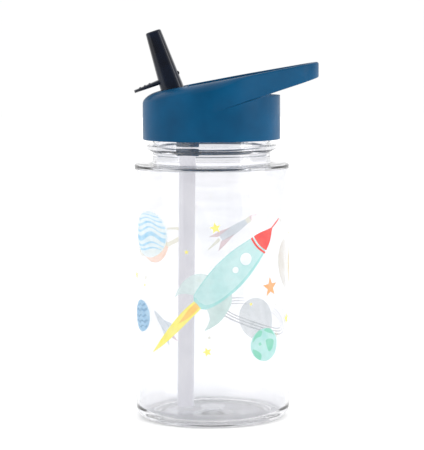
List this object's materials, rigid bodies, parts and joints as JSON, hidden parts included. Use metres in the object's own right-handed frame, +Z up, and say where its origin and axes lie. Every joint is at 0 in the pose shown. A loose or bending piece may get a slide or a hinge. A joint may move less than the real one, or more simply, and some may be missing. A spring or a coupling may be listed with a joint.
{
  "type": "kids water bottle",
  "caption": "Clear screw-neck drinking bottle with a blue lid that carries a side loop, a fold-down spout with a thumb tab, and a straw.",
  "frame": {"origin": "on the bottle's axis in the plane that the foot ring stands on, named by the flat recess in the middle of the base, 0.8 mm above that plane", "axes": "+Z up along the bottle's axis, +X towards the carry loop, the open spout leans towards -X, and the hinge of the spout lies along Y"},
  "size_m": [0.0838, 0.0704, 0.1764],
  "materials": {
    "clear_plastic": "clear moulded copolyester, polished",
    "lid_blue": "satin moulded polypropylene, deep petrol blue",
    "spout_navy": "glossy dark navy, slightly see-through",
    "straw_plastic": "milky translucent polypropylene",
    "silicone": "soft white silicone"
  },
  "bodies": {
    "bottle": {"bottle_body": "clear_plastic"},
    "gasket": {"lid_gasket": "silicone"},
    "lid": {"lid_shell": "lid_blue", "spout_seal": "silicone", "vent_valve": "silicone", "straw": "straw_plastic"},
    "spout": {"spout": "spout_navy"}
  },
  "joints": [
    {"name": "lid_lift", "type": "slide", "parent": "bottle", "child": "gasket", "axis": [0, 0, 1], "range_m": [0, 0.005]},
    {"name": "lid_turn", "type": "hinge", "parent": "gasket", "child": "lid", "pos_m": [0, 0, 0.1267], "axis": [0, 0, 1], "range_deg": [0, 450]},
    {"name": "spout_flip", "type": "hinge", "parent": "lid", "child": "spout", "pos_m": [-0.0157, 0, 0.1436], "axis": [0, 1, 0], "range_deg": [0, 98]}
  ],
  "couplings": [
    {"joint": "lid_lift", "follows": "lid_turn", "m_per_rad": 0.00063662}
  ]
}
